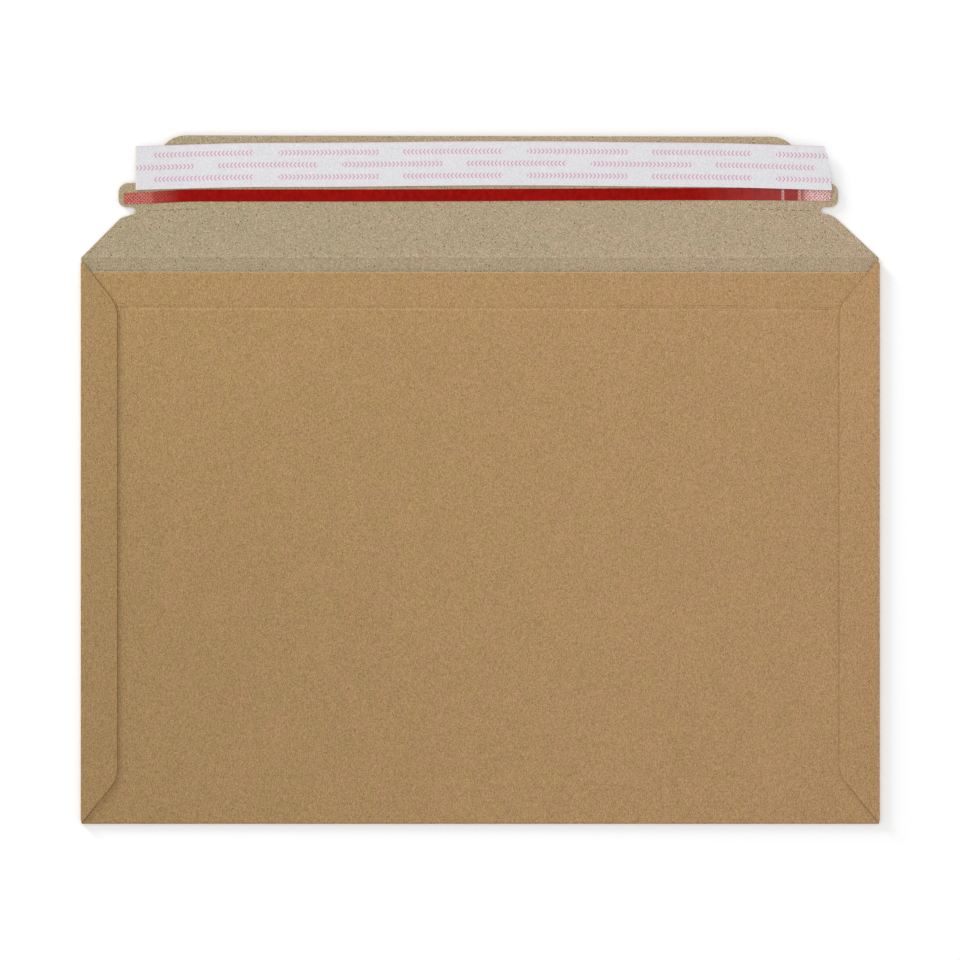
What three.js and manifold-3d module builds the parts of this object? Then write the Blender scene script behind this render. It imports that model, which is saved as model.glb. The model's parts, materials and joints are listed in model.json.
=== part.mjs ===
// A flat pocket mailer of solid board, lying on its back with its closing flap open.
//
// One die-cut sheet makes the pocket and its flap. The front panel folds up from the bottom
// fold, and a tapered tab folds over from each side and is glued to the outside of the front
// panel. The flap has two tear ears, a red tear tape from ear to ear, and a stripe of adhesive
// under a paper release liner. The closed flap lies between the two side tabs.
//
// Millimetres, +Z up. X runs along the bottom fold, Y from the bottom fold to the flap's free
// edge. The origin is at the middle of the whole outline, on the surface that it lies on.

import * as THREE from "three";
import { mergeVertices } from "three/addons/utils/BufferGeometryUtils.js";
import Module from "manifold-3d";

// The sheet and the pocket

const boardThickness = 0.6; // solid board of about 450 grams per square metre
const pocketWidth = 352; // over both side folds
const pocketHeight = 249.5; // bottom fold to the flap's crease
const pocketGap = 0.4; // air between the back and front panels of an empty pocket
const frontSetback = 6.4; // front panel's cut edge, below the flap's crease
const frontSideClearance = 0.3; // front panel's side edges to where the side folds begin
const cornerRelief = 1.0; // side folds start this far above the bottom fold
const foldStop = 2.2; // and end this far below the flap's crease
const cornerSlit = 0.3; // cut between the end of a side fold and the flat corner above it
const cornerInset = 0.4; // that corner's edge, in from the side fold's outer face

// The side tabs, glued to the outside of the front panel

const sideTabWidth = 17.1;
const taperDegrees = 50.6; // slope of the tabs' ends and of the flap's closing part
const sideTabCornerRadius = 13;
const glueThickness = 0.2;
const glueWidth = 11;
const glueInset = 2.5; // from the tab's inner edge
const glueEndMargin = 4; // from where the tab reaches its full width

// The creases. Each is a groove in the outer face and a low bead on the inner one

const creaseWidth = 2.7;
const creaseDepth = 0.15;
const creaseStop = 2.6; // the front panel's creases end this far from the side tabs
const lowerCreaseHeight = 20.3; // above the bottom fold
const upperCreaseDrop = 15.9; // below the front panel's cut edge
const hingeGap = 0.3; // parting of pocket and flap along the flap's crease
const springDegrees = 2; // the crease holds the open flap up by this angle

// The flap, measured upwards from its crease

const flapHeight = 53.6;
const shoulderRise = 18; // the 45 degree shoulders end here
const shoulderRadius = 6;
const notchLipRise = 19.6; // lower lip of the tear notches
const notchWidth = 2.6;
const notchDepth = 7.4; // in from the ears' outer edges
const earHeight = 10.7;
const earClearance = 0.4; // ears to side tabs, when the flap is closed
const earLowerRadius = 3.4;
const earUpperRadius = 4.4;
const earRootInset = 6.3; // in from the ears' outer edges to the closing part
const closingCornerRadius = 13;

// The perforation that starts at the bottom of each notch

const perforationCuts = 8; // on each side
const perforationPitch = 3.35;
const perforationCutLength = 2;
const perforationCutWidth = 0.3;
const perforationStart = 4.7; // first cut, in from the notch's end

// What is stuck to the flap

const tapeWidth = 5.2;
const tapeThickness = 0.1;
const tapeMargin = 2.35; // above the ears' lower edge
const tapeEndInset = 2.8; // in from the ears' outer edges
const linerThickness = 0.1;
const linerTapeGap = 1.6; // liner's lower edge above the tape's upper edge
const linerTopMargin = 3; // liner's upper edge below the flap's free edge
const linerEndInset = 6.6; // in from the ears' outer edges
const linerEndSkew = 3.1; // the right end is cut aslant by this much
const adhesiveThickness = 0.15;
const adhesiveMargin = 2.1; // inside the liner's long edges
const adhesiveEndInset = 3.2; // inside the closing part's upper corners

// How the closed flap clears the front panel

const closedClearance = 0.55;

// Facets

const arcSteps = 8; // per fillet
const foldSteps = 10; // per half turn of a fold
const overcut = 1; // how far a cutting block runs past what it cuts

// Derived heights of the sheet's layers

const frontUnderside = boardThickness + pocketGap;
const frontTop = frontUnderside + boardThickness;
const tabUnderside = frontTop + glueThickness;
const tabTop = tabUnderside + boardThickness;

// Derived outline of the pocket

const sideX = pocketWidth / 2;
const cornerX = sideX - cornerInset;
const bottomY = -(pocketHeight + flapHeight) / 2;
const creaseY = bottomY + pocketHeight;
const frontEdgeY = creaseY - frontSetback;
const bottomFoldRadius = frontTop / 2;
const sideFoldRadius = tabTop / 2;
const sideFoldX = sideX - sideFoldRadius;
const frontSideX = sideFoldX - frontSideClearance;
const tabEdgeX = sideX - sideTabWidth;
const taperRise = Math.tan(THREE.MathUtils.degToRad(taperDegrees));
const tabTaperLength = sideTabWidth * taperRise;

// Derived outline of the flap, as distances from the middle and above the crease

const earX = tabEdgeX - earClearance;
const notchX = earX - notchDepth;
const earRootX = earX - earRootInset;
const earBottom = notchLipRise + notchWidth;
const earTop = earBottom + earHeight;
const closingTopX = earRootX - (flapHeight - earTop) / taperRise;
const tapeBottom = earBottom + tapeMargin;
const linerBottom = tapeBottom + tapeWidth + linerTapeGap;
const linerTop = flapHeight - linerTopMargin;

// The flap turns about this height above the surface, so that it closes flat on the front panel

const closedStack = frontTop + closedClearance + linerThickness + adhesiveThickness;
const hingeZ = (closedStack + boardThickness) / 2;

const kraft = { color: 0xab8a60, roughness: 0.85, metalness: 0 };
const greyBoard = { color: 0xb09f82, roughness: 0.9, metalness: 0 };
const redFilm = { color: 0x93160b, roughness: 0.35, metalness: 0 };
const linerPaper = { color: 0xe0dfe2, roughness: 0.5, metalness: 0 };
const gum = { color: 0xd8cfae, roughness: 0.3, metalness: 0 };

const wasm = await Module();
wasm.setup();

// Solids

// A closed three.js geometry as a solid that can be joined and cut.
function solidOf(geometry) {
  geometry.deleteAttribute("normal");
  geometry.deleteAttribute("uv");
  const merged = mergeVertices(geometry);
  return new wasm.Manifold(new wasm.Mesh({
    numProp: 3,
    vertProperties: new Float32Array(merged.attributes.position.array),
    triVerts: new Uint32Array(merged.index.array),
  }));
}

// A solid back as a three.js geometry.
function geometryOf(solid) {
  const mesh = solid.getMesh();
  const geometry = new THREE.BufferGeometry();
  geometry.setAttribute("position", new THREE.BufferAttribute(mesh.vertProperties, 3));
  geometry.setIndex(new THREE.BufferAttribute(mesh.triVerts, 1));
  geometry.computeVertexNormals();
  return geometry;
}

// A shape pushed out along one axis between two planes. The shape's own x and y lie along the
// first two axes given.
function extrude(shape, from, to, alongX, alongY, alongZ) {
  const geometry = new THREE.ExtrudeGeometry(shape, {
    depth: to - from,
    bevelEnabled: false,
    curveSegments: arcSteps,
  });
  geometry.translate(0, 0, from);
  geometry.applyMatrix4(new THREE.Matrix4().makeBasis(alongX, alongY, alongZ));
  return solidOf(geometry);
}

const axisX = new THREE.Vector3(1, 0, 0);
const axisY = new THREE.Vector3(0, 1, 0);
const axisZ = new THREE.Vector3(0, 0, 1);

// A plan outline, drawn in x and y, between two heights.
function slab(shape, fromZ, toZ) {
  return extrude(shape, fromZ, toZ, axisX, axisY, axisZ);
}

// A section drawn in y and z, run along X.
function runAlongX(section, fromX, toX) {
  return extrude(section, fromX, toX, axisY, axisZ, axisX);
}

// A section drawn in x and z, run along Y.
function runAlongY(section, fromY, toY) {
  return extrude(section, -toY, -fromY, axisX, axisZ, axisY.clone().negate());
}

function block(fromX, toX, fromY, toY, fromZ, toZ) {
  const box = new THREE.BoxGeometry(toX - fromX, toY - fromY, toZ - fromZ);
  box.translate((fromX + toX) / 2, (fromY + toY) / 2, (fromZ + toZ) / 2);
  return solidOf(box);
}

function mirrored(solid) {
  return solid.mirror([1, 0, 0]);
}

// Outlines

// A closed outline through the corners given, each rounded by its own radius where it has one.
// A radius is never larger than the two edges beside it leave room for.
function roundedOutline(corners) {
  const outline = new THREE.Shape();
  corners.forEach((corner, i) => {
    const here = new THREE.Vector2(corner.x, corner.y);
    const last = corners[(i + corners.length - 1) % corners.length];
    const next = corners[(i + 1) % corners.length];
    const toLast = new THREE.Vector2(last.x, last.y).sub(here);
    const toNext = new THREE.Vector2(next.x, next.y).sub(here);
    const room = Math.min(toLast.length(), toNext.length()) / 2;
    toLast.normalize();
    toNext.normalize();
    const halfAngle = Math.acos(THREE.MathUtils.clamp(toLast.dot(toNext), -1, 1)) / 2;
    const radius = Math.min(corner.radius ?? 0, room * Math.tan(halfAngle));
    const cut = radius / Math.tan(halfAngle);
    const start = here.clone().addScaledVector(toLast, cut);
    if (i === 0) outline.moveTo(start.x, start.y);
    else outline.lineTo(start.x, start.y);
    if (radius > 0) {
      const middle = toLast.clone().add(toNext).normalize();
      const centre = here.clone().addScaledVector(middle, radius / Math.sin(halfAngle));
      const end = here.clone().addScaledVector(toNext, cut);
      const startAngle = start.clone().sub(centre).angle();
      const endAngle = end.clone().sub(centre).angle();
      const clockwise = toLast.cross(toNext) > 0;
      outline.absarc(centre.x, centre.y, radius, startAngle, endAngle, clockwise);
    }
  });
  outline.closePath();
  return outline;
}

// The section of a sheet that runs flat, turns back over itself through half a turn, and runs
// flat again. The turn opens towards lower u, and the run beyond it ends at its own u.
function foldedSection(startU, foldU, endU, radius) {
  const inner = radius - boardThickness;
  const section = new THREE.Shape();
  const quarter = Math.PI / 2;
  section.moveTo(startU, 0);
  section.lineTo(foldU, 0);
  for (let i = 1; i <= foldSteps; i += 1) {
    const angle = -quarter + (Math.PI * i) / foldSteps;
    section.lineTo(foldU + radius * Math.cos(angle), radius + radius * Math.sin(angle));
  }
  section.lineTo(endU, 2 * radius);
  section.lineTo(endU, 2 * radius - boardThickness);
  section.lineTo(foldU, 2 * radius - boardThickness);
  for (let i = foldSteps - 1; i >= 0; i -= 1) {
    const angle = -quarter + (Math.PI * i) / foldSteps;
    section.lineTo(foldU + inner * Math.cos(angle), radius + inner * Math.sin(angle));
  }
  section.lineTo(startU, boardThickness);
  section.closePath();
  return section;
}

// The section of a crease's bead or groove: a shallow arc that bulges one way from a face, with
// a flat block behind it that bites into the board or clears the air.
function creaseSection(y, faceZ, direction) {
  const half = creaseWidth / 2;
  const radius = (half * half + creaseDepth * creaseDepth) / (2 * creaseDepth);
  const spread = Math.asin(half / radius);
  const bite = -direction * (boardThickness / 2);
  const section = new THREE.Shape();
  section.moveTo(y - half, faceZ + bite);
  section.lineTo(y + half, faceZ + bite);
  for (let i = 0; i <= arcSteps; i += 1) {
    const angle = spread - (2 * spread * i) / arcSteps;
    const rise = radius * Math.cos(angle) - radius + creaseDepth;
    section.lineTo(y + radius * Math.sin(angle), faceZ + direction * rise);
  }
  section.closePath();
  return section;
}

// Presses a crease into a flat stretch of board: a groove in one face, a bead on the other.
function pressCrease(board, y, grooveZ, beadZ, halfLength) {
  const direction = Math.sign(beadZ - grooveZ);
  const bead = runAlongX(creaseSection(y, beadZ, direction), -halfLength, halfLength);
  const groove = runAlongX(creaseSection(y, grooveZ, direction), -halfLength, halfLength);
  return board.add(bead).subtract(groove);
}

// The pocket

// Back panel, bottom fold and front panel, as one bent strip of the sheet.
function pocketTube() {
  const foldY = bottomY + bottomFoldRadius;
  const section = foldedSection(-creaseY, -foldY, -frontEdgeY, bottomFoldRadius);
  return extrude(section, -frontSideX, frontSideX, axisY.clone().negate(), axisZ, axisX.clone().negate());
}

// The plan outline of the right-hand side tab, tapered at both ends. It runs a little past the
// side fold, where there is no board.
function sideTabOutline() {
  const pastX = sideX + overcut;
  const pastY = overcut * taperRise;
  return roundedOutline([
    { x: pastX, y: bottomY - pastY },
    { x: pastX, y: creaseY + pastY },
    { x: tabEdgeX, y: creaseY - tabTaperLength, radius: sideTabCornerRadius },
    { x: tabEdgeX, y: bottomY + tabTaperLength, radius: sideTabCornerRadius },
  ]);
}

// The right-hand side fold with its tab. The half of the bend that belongs to the back panel is
// cut square, the half that belongs to the tab follows the tab's tapered ends.
function sideFold() {
  const flatX = tabEdgeX - overcut;
  const section = foldedSection(flatX, sideFoldX, tabEdgeX, sideFoldRadius);
  const fold = runAlongY(section, bottomY + cornerRelief, creaseY - foldStop);
  const aboveTab = tabTop + overcut;
  const tabHalf = block(flatX - overcut, sideX + overcut, bottomY, creaseY, sideFoldRadius, aboveTab);
  const kept = slab(sideTabOutline(), sideFoldRadius - overcut, aboveTab + overcut);
  return fold.subtract(tabHalf.subtract(kept));
}

// The flat top of the back panel, with its two corners beyond the ends of the side folds.
function backPanelTop() {
  return block(-cornerX, cornerX, creaseY - foldStop + cornerSlit, creaseY, 0, boardThickness);
}

function pocketBoard() {
  const right = sideFold();
  let board = pocketTube().add(right).add(mirrored(right)).add(backPanelTop());
  board = pressCrease(board, creaseY, 0, boardThickness, cornerX);
  const creaseHalfLength = tabEdgeX - creaseStop;
  const lowerY = bottomY + lowerCreaseHeight;
  const upperY = frontEdgeY - upperCreaseDrop;
  board = pressCrease(board, lowerY, frontTop, frontUnderside, creaseHalfLength);
  board = pressCrease(board, upperY, frontTop, frontUnderside, creaseHalfLength);
  const pastX = sideX + overcut;
  const partingY = creaseY - hingeGap / 2;
  const flapSide = block(-pastX, pastX, partingY, creaseY + creaseWidth, -overcut, tabTop + overcut);
  return board.subtract(flapSide);
}

// The film of glue between the right-hand tab and the front panel.
function sideGlue() {
  const fromX = tabEdgeX + glueInset;
  const fromY = bottomY + tabTaperLength + glueEndMargin;
  const toY = creaseY - tabTaperLength - glueEndMargin;
  return block(fromX, fromX + glueWidth, fromY, toY, frontTop, tabUnderside);
}

// The flap. Its own zero is on the hinge line: y is measured from the crease, z from the height
// of the hinge.

const flapUnderside = -hingeZ;
const flapFace = flapUnderside + boardThickness;

// The plan outline: 45 degree shoulders that start at the corners of the back panel, a notch under
// each ear, the two ears, and the closing part between them that tapers to rounded corners.
function flapOutline() {
  const rightSide = [
    { x: cornerX, y: 0 },
    { x: cornerX - shoulderRise, y: shoulderRise, radius: shoulderRadius },
    { x: notchX, y: notchLipRise, radius: notchWidth / 2 },
    { x: notchX, y: earBottom, radius: notchWidth / 2 },
    { x: earX, y: earBottom, radius: earLowerRadius },
    { x: earX, y: earTop, radius: earUpperRadius },
    { x: earRootX, y: earTop },
    { x: closingTopX, y: flapHeight, radius: closingCornerRadius },
  ];
  const leftSide = rightSide.map((corner) => ({ ...corner, x: -corner.x })).reverse();
  return roundedOutline([...rightSide, ...leftSide]);
}

// One row of perforation cuts, from the right-hand notch towards the middle.
function perforation() {
  const lineY = notchLipRise + notchWidth / 2;
  const cuts = [];
  for (let i = 0; i < perforationCuts; i += 1) {
    const outerX = notchX - perforationStart - i * perforationPitch;
    const lowY = lineY - perforationCutWidth / 2;
    const highY = lineY + perforationCutWidth / 2;
    const lowZ = flapUnderside - overcut;
    const highZ = flapFace + overcut;
    cuts.push(block(outerX - perforationCutLength, outerX, lowY, highY, lowZ, highZ));
  }
  return cuts;
}

function flapBoard() {
  const outline = slab(flapOutline(), flapUnderside - creaseDepth, flapFace + creaseDepth);
  const pastX = sideX + overcut;
  const sheet = block(-pastX, pastX, -creaseWidth, flapHeight + overcut, flapUnderside, flapFace);
  let board = pressCrease(sheet, 0, flapUnderside, flapFace, cornerX).intersect(outline);
  const parting = hingeGap / 2;
  board = board.subtract(block(-pastX, pastX, -overcut, parting, -hingeZ - overcut, overcut));
  for (const cut of perforation()) {
    board = board.subtract(cut).subtract(mirrored(cut));
  }
  return board;
}

function tearTape() {
  const halfLength = earX - tapeEndInset;
  return block(
    -halfLength, halfLength, tapeBottom, tapeBottom + tapeWidth, flapFace, flapFace + tapeThickness,
  );
}

function adhesiveStrip() {
  const halfLength = closingTopX - adhesiveEndInset;
  const topZ = flapFace + adhesiveThickness;
  return block(
    -halfLength, halfLength, linerBottom + adhesiveMargin, linerTop - adhesiveMargin, flapFace, topZ,
  );
}

// The liner runs past the tapered ends of the flap, and its right end is cut aslant.
function releaseLiner() {
  const halfLength = earX - linerEndInset;
  const outline = roundedOutline([
    { x: -halfLength, y: linerBottom },
    { x: halfLength + linerEndSkew, y: linerBottom },
    { x: halfLength, y: linerTop },
    { x: -halfLength, y: linerTop },
  ]);
  const fromZ = flapFace + adhesiveThickness;
  return slab(outline, fromZ, fromZ + linerThickness);
}

// The assembled mailer

function piece(name, solid, finish) {
  const mesh = new THREE.Mesh(geometryOf(solid), new THREE.MeshStandardMaterial(finish));
  mesh.name = name;
  mesh.material.flatShading = true;
  return mesh;
}

const mailer = new THREE.Group();
mailer.add(piece("pocket_board", pocketBoard(), kraft));
mailer.add(piece("side_glue_right", sideGlue(), gum));
mailer.add(piece("side_glue_left", mirrored(sideGlue()), gum));

// Turning this group about its own X axis closes the mailer. Left alone, the flap stands a little
// open.
const flap = new THREE.Group();
flap.position.set(0, creaseY, hingeZ);
flap.rotation.x = THREE.MathUtils.degToRad(springDegrees);
flap.add(piece("flap_board", flapBoard(), greyBoard));
flap.add(piece("tear_tape", tearTape(), redFilm));
flap.add(piece("adhesive_strip", adhesiveStrip(), gum));
flap.add(piece("release_liner", releaseLiner(), linerPaper));
mailer.add(flap);

export default mailer;
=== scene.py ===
# %% [markdown]
# # A flat pocket mailer, lying open
#
# The real thing is one sheet of solid board, brown kraft outside and grey inside. It is die-cut,
# creased, folded into a flat pocket and glued. A red tear tape and a paper release liner are stuck
# to the inside of its closing flap.
#
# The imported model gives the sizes, the bodies and the hinge of the flap. Everything here is drawn
# in millimetres, and turned into metres when a mesh is made.

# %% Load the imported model
import json
import math

import bpy
import numpy as np
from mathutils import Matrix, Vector
from mathutils.geometry import delaunay_2d_cdt


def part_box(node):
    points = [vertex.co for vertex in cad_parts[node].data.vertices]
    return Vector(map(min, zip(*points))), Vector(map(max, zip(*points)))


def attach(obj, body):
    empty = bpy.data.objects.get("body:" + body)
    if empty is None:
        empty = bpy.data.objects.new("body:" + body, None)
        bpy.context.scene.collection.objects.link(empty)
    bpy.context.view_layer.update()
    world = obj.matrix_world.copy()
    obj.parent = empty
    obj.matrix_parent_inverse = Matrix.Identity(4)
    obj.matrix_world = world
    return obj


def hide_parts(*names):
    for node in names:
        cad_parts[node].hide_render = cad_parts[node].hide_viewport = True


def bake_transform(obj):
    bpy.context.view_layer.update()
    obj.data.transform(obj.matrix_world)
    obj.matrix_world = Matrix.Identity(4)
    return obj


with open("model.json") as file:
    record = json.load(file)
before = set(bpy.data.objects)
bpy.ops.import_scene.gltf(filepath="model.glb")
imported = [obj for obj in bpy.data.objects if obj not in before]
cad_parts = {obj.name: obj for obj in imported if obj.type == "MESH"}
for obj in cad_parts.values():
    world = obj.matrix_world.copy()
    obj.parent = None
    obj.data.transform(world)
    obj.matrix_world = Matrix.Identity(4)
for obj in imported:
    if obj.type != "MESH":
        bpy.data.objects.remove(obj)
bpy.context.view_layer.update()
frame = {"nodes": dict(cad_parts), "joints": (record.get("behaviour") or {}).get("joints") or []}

millimetre = 0.001
scene = bpy.context.scene
pocket_low, pocket_high = (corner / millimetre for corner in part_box("pocket_board"))
crease = frame["joints"][0]
hinge_y = crease["pos_m"][1] / millimetre
hinge_z = crease["pos_m"][2] / millimetre
spring_degrees = 180 - crease["range_deg"][1]
print("pocket from", pocket_low, "to", pocket_high)
print("the flap's crease is at y", hinge_y, "and springs open by", spring_degrees, "degrees")

# %% [markdown]
# ## The camera
#
# The mailer is seen from straight above, with its flap at the top. A camera could be
# orthographic, but a real photograph has a little perspective, so this is a long lens three
# metres up. Its focal length follows from the width that it has to see.

# %% The camera
picture_pixels = 960
pixel_size = 0.44076
picture_centre_x = -0.107
picture_centre_y = -0.04
camera_height = 3.0
sensor_width = 36

view_width = picture_pixels * pixel_size * millimetre
camera_data = bpy.data.cameras.new("camera")
camera_data.type = "PERSP"
camera_data.sensor_width = sensor_width
camera_data.lens = sensor_width * camera_height / view_width
camera = bpy.data.objects.new("camera", camera_data)
camera.location = (picture_centre_x * millimetre, picture_centre_y * millimetre, camera_height)
scene.collection.objects.link(camera)
scene.camera = camera
print("lens", round(camera_data.lens, 1), "mm sees", round(view_width, 4), "m across")

# %% [markdown]
# ## The light and the floor
#
# A wide faint shadow lies to the right of the mailer and below it, yet the steps between its own
# layers throw almost none. So nearly all light is even and comes from the world, and one soft
# lamp, low on the upper left, adds a small share. Together they give a level white surface a
# radiance of one, so that a colour renders as it is written.
#
# The floor has to be white in the picture without more light on the board. It is a pale diffuse
# surface that keeps the shadow, plus a glow that only the camera and reflections see. Light and
# finishes are made of nodes, so a small helper adds a node, sets its values and links its inputs.

# %% The light and the floor
lamp_share = 0.17
lamp_distance = 3.6
lamp_size = 0.9
lamp_elevation = math.radians(12.5)
lamp_azimuth = math.radians(135)
floor_albedo = 0.88
floor_margin = 0.035
floor_half = 4.0


class Nodes:
    """A tree of shader nodes under construction."""

    def __init__(self, tree):
        self.tree = tree

    def add(self, kind, inputs=(), **settings):
        """A node. Inputs are sockets to link or values to set, in order; None leaves one alone."""
        node = self.tree.nodes.new(kind)
        for key, value in settings.items():
            setattr(node, key, value)
        for socket, value in zip(node.inputs, inputs):
            if isinstance(value, bpy.types.NodeSocket):
                self.tree.links.new(value, socket)
            elif value is not None:
                socket.default_value = value
        return node

    def math(self, operation, a, b=0.0, c=0.0):
        """An operation on sockets or numbers."""
        return self.add("ShaderNodeMath", [a, b, c], operation=operation).outputs[0]

    def seen_directly(self):
        """1 for rays of the camera, of reflections and of glass, 0 for light that falls on things."""
        ray = self.add("ShaderNodeLightPath").outputs
        directly = self.math("MAXIMUM", ray["Is Camera Ray"], ray["Is Glossy Ray"])
        return self.math("MAXIMUM", directly, ray["Is Transmission Ray"])


world_share = 1 - lamp_share
world = bpy.data.worlds.new("studio")
world.use_nodes = True
scene.world = world
sky = world.node_tree.nodes["Background"]
sky.inputs["Color"].default_value = (1, 1, 1, 1)
sky_nodes = Nodes(world.node_tree)
sky_strength = sky_nodes.math("MULTIPLY_ADD", sky_nodes.seen_directly(), lamp_share, world_share)
world.node_tree.links.new(sky_strength, sky.inputs["Strength"])

lamp_data = bpy.data.lights.new("soft_window", "AREA")
lamp_data.shape = "SQUARE"
lamp_data.size = lamp_size
lamp_data.energy = math.pi ** 2 * lamp_share * lamp_distance ** 2 / math.sin(lamp_elevation)
lamp = bpy.data.objects.new("soft_window", lamp_data)
lamp_direction = Vector((
    math.cos(lamp_elevation) * math.cos(lamp_azimuth),
    math.cos(lamp_elevation) * math.sin(lamp_azimuth),
    math.sin(lamp_elevation),
))
lamp.location = lamp_direction * lamp_distance
lamp.rotation_mode = "QUATERNION"
lamp.rotation_quaternion = lamp_direction.to_track_quat("Z", "Y")
lamp.visible_camera = False
scene.collection.objects.link(lamp)

floor_material = bpy.data.materials.new("white_table")
floor_material.use_nodes = True
floor_material.node_tree.nodes.clear()
floor_nodes = Nodes(floor_material.node_tree)
paint = floor_nodes.add("ShaderNodeBsdfDiffuse", [(floor_albedo, floor_albedo, floor_albedo, 1)])
glow_share = 1 - floor_albedo + floor_margin
glow_strength = floor_nodes.math("MULTIPLY", floor_nodes.seen_directly(), glow_share)
glow = floor_nodes.add("ShaderNodeEmission", [(1, 1, 1, 1), glow_strength])
both = floor_nodes.add("ShaderNodeAddShader", [paint.outputs[0], glow.outputs[0]])
floor_nodes.add("ShaderNodeOutputMaterial", [both.outputs[0]])

floor_mesh = bpy.data.meshes.new("floor")
unit_square = ((-1, -1), (1, -1), (1, 1), (-1, 1))
floor_points = [(x * floor_half, y * floor_half, 0) for x, y in unit_square]
floor_mesh.from_pydata(floor_points, [], [(0, 1, 2, 3)])
floor_mesh.materials.append(floor_material)
floor = bpy.data.objects.new("floor", floor_mesh)
scene.collection.objects.link(floor)
scene.view_settings.view_transform = "Standard"
print("lamp", round(lamp_data.energy), "W, world", world_share)

# %% [markdown]
# ## The sizes of the sheet
#
# Seen from its edge the pocket is a stack: back panel, air, front panel, glue, side tab. The
# stack sets how wide each fold has to turn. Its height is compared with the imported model.

# %% The sizes of the sheet
board_thickness = 0.6
pocket_gap = 0.4
glue_thickness = 0.2
half_board = board_thickness / 2

front_top = 2 * board_thickness + pocket_gap
tab_top = front_top + glue_thickness + board_thickness
side_x = pocket_high.x
bottom_y = pocket_low.y
bottom_rise = front_top - board_thickness
side_rise = tab_top - board_thickness
bend = 0.42
bottom_fold_y = bottom_y + bend + half_board
side_fold_x = side_x - bend - half_board
bottom_turn = math.pi * bend + bottom_rise - 2 * bend
side_turn = math.pi * bend + side_rise - 2 * bend
print("stack of layers", round(tab_top, 3), "mm, packed model", round(pocket_high.z, 3), "mm")

# %% [markdown]
# ## The blank
#
# On the real machine the sheet is cut flat and folded afterwards, and this script does the same.
# The blank is drawn in its own flat coordinates: u across, v along, and w through the thickness,
# with the grey inside at plus half a board and the kraft outside at minus half a board. On the
# back panel u and v are the x and y of the finished pocket.
#
# The die was not quite square to the folds on this mailer: its flap and tabs sit a little to the
# left, and the front panel's free edge runs slightly downhill to the right.

# %% Where the panels lie in the blank
die_shift = -0.9
front_side_x = 174.5
front_edge_y = 91.6
front_edge_slope = -0.001
tab_edge_x = 158.9
fold_stop = 2.2
corner_slit = 0.3
slit_above_bottom = 1.05


def front_v(y):
    """The blank's v for a height y on the folded front panel. It works both ways."""
    return 2 * bottom_fold_y - bottom_turn - y


def tab_u(x):
    """The blank's u for a distance x from the middle on a folded side tab."""
    return 2 * side_fold_x + side_turn - x


print("front panel's free edge at v", round(front_v(front_edge_y), 2))
print("side tab's edge at u", round(tab_u(tab_edge_x), 2))

# %% [markdown]
# ## The outline of the blank
#
# Both sides of the blank have the same corners, so one function lists them for either side, from
# the front panel's free edge up to the flap's free edge. Each corner has its own radius, and a
# second function turns corners into arcs. A curve tool could round them too, but then the folding
# would not know their points. What differs is listed by side, 1 for the right and -1 for the
# left. A shoulder is its x, its height above the crease and its radius.

# %% Corners of one side
strip_x = {1: 175.5, -1: 175.9}
corner_x = 175.7
flare_height = 3.0
low_taper_degrees = 50.6
high_taper_degrees = {1: 50.6, -1: 52.2}
high_taper_drop = {1: 0, -1: 0.5}
tab_corner_radius = 13
shoulder = {1: (156.3, 18.6, 9), -1: (157.5, 17.5, 5)}
notch_x = 151.1
notch_low = 19.5
notch_high = 22.2
notch_radius = 1.3
ear_x = 158.5
ear_top = 32.9
ear_lower_radius = 3.4
ear_upper_radius = 4.4
ear_root_x = 150.8
ear_root_radius = 1.0
closing_top_x = 135.2
closing_radius = 13
flap_height = 53.6
free_edge_slope = -0.0022
flare_radius = 1.0
cut_radius = 0.5
slit_radius = 0.2


def side_corners(side):
    """(u, v, radius) of each corner on one side."""
    tab_edge = tab_edge_x + side * die_shift
    low_rise = math.tan(math.radians(low_taper_degrees))
    high_rise = math.tan(math.radians(high_taper_degrees[side]))
    high_start = hinge_y - high_taper_drop[side]
    tab_low = bottom_y + slit_above_bottom + corner_slit / 2
    tab_high = hinge_y - fold_stop
    edge_v = front_v(front_edge_y + side * front_side_x * front_edge_slope)
    pocket_corners = [
        (front_side_x, edge_v, 0),
        (front_side_x, front_v(bottom_y + flare_height), flare_radius),
        (corner_x, bottom_fold_y - bottom_turn, cut_radius),
        (corner_x, bottom_y + slit_above_bottom - corner_slit / 2, slit_radius),
        (side_fold_x, bottom_y + slit_above_bottom, 0),
        (tab_u(side_x - (tab_low - bottom_y) / low_rise), tab_low, cut_radius),
        (tab_u(tab_edge), bottom_y + (side_x - tab_edge) * low_rise, tab_corner_radius),
        (tab_u(tab_edge), high_start - (side_x - tab_edge) * high_rise, tab_corner_radius),
        (tab_u(side_x - (high_start - tab_high) / high_rise), tab_high, cut_radius),
        (side_fold_x, tab_high, 0),
        (strip_x[side], tab_high + corner_slit, slit_radius),
        (strip_x[side], hinge_y, cut_radius),
    ]
    flap_corners = [
        shoulder[side],
        (notch_x, notch_low, notch_radius),
        (notch_x, notch_high, notch_radius),
        (ear_x, notch_high, ear_lower_radius),
        (ear_x, ear_top, ear_upper_radius),
        (ear_root_x, ear_top, ear_root_radius),
        (closing_top_x, flap_height + side * closing_top_x * free_edge_slope, closing_radius),
    ]
    corners = [(side * u, v, radius) for u, v, radius in pocket_corners]
    return corners + [(side * u + die_shift, hinge_y + v, radius) for u, v, radius in flap_corners]


right_corners = side_corners(1)
left_corners = side_corners(-1)
print(len(right_corners), "corners on each side")

# %% [markdown]
# Each rounded corner becomes an arc of a few chords. Straight stretches are divided as well, so
# that a long edge can follow a panel that bows.

# %% Rounded outline
arc_chords = 9
grid_step = 6.0


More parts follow.
